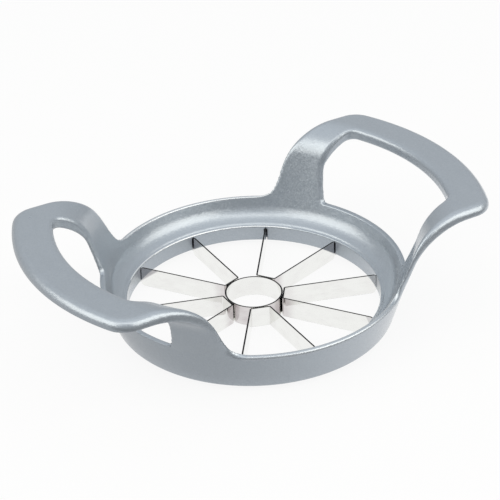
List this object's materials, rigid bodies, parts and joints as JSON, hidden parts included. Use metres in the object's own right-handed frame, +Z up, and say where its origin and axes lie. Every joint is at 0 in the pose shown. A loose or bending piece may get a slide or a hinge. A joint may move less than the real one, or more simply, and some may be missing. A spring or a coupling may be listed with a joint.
{
  "type": "apple slicer",
  "caption": "Hand press that cores an apple and parts it into wedges: a cast ring with raised loop handles, radial steel blade strips and a round core cutter.",
  "frame": {"origin": "on the ring's axis, at the height of the surface that the blades and the core cutter stand on", "axes": "+X along the line through both handles, +Z up along the ring's axis, away from the cutting edges"},
  "size_m": [0.174, 0.1138, 0.0448],
  "materials": {
    "lacquered_casting": "semi-gloss silver-grey metallic lacquer over cast aluminium",
    "blade_steel": "bright rolled stainless strip"
  },
  "bodies": {
    "root": {"handle_ring_casting": "lacquered_casting", "core_cutter_ring": "blade_steel", "blade_pair_1": "blade_steel", "blade_pair_2": "blade_steel", "blade_pair_3": "blade_steel", "blade_pair_4": "blade_steel", "blade_pair_5": "blade_steel"}
  },
  "joints": []
}
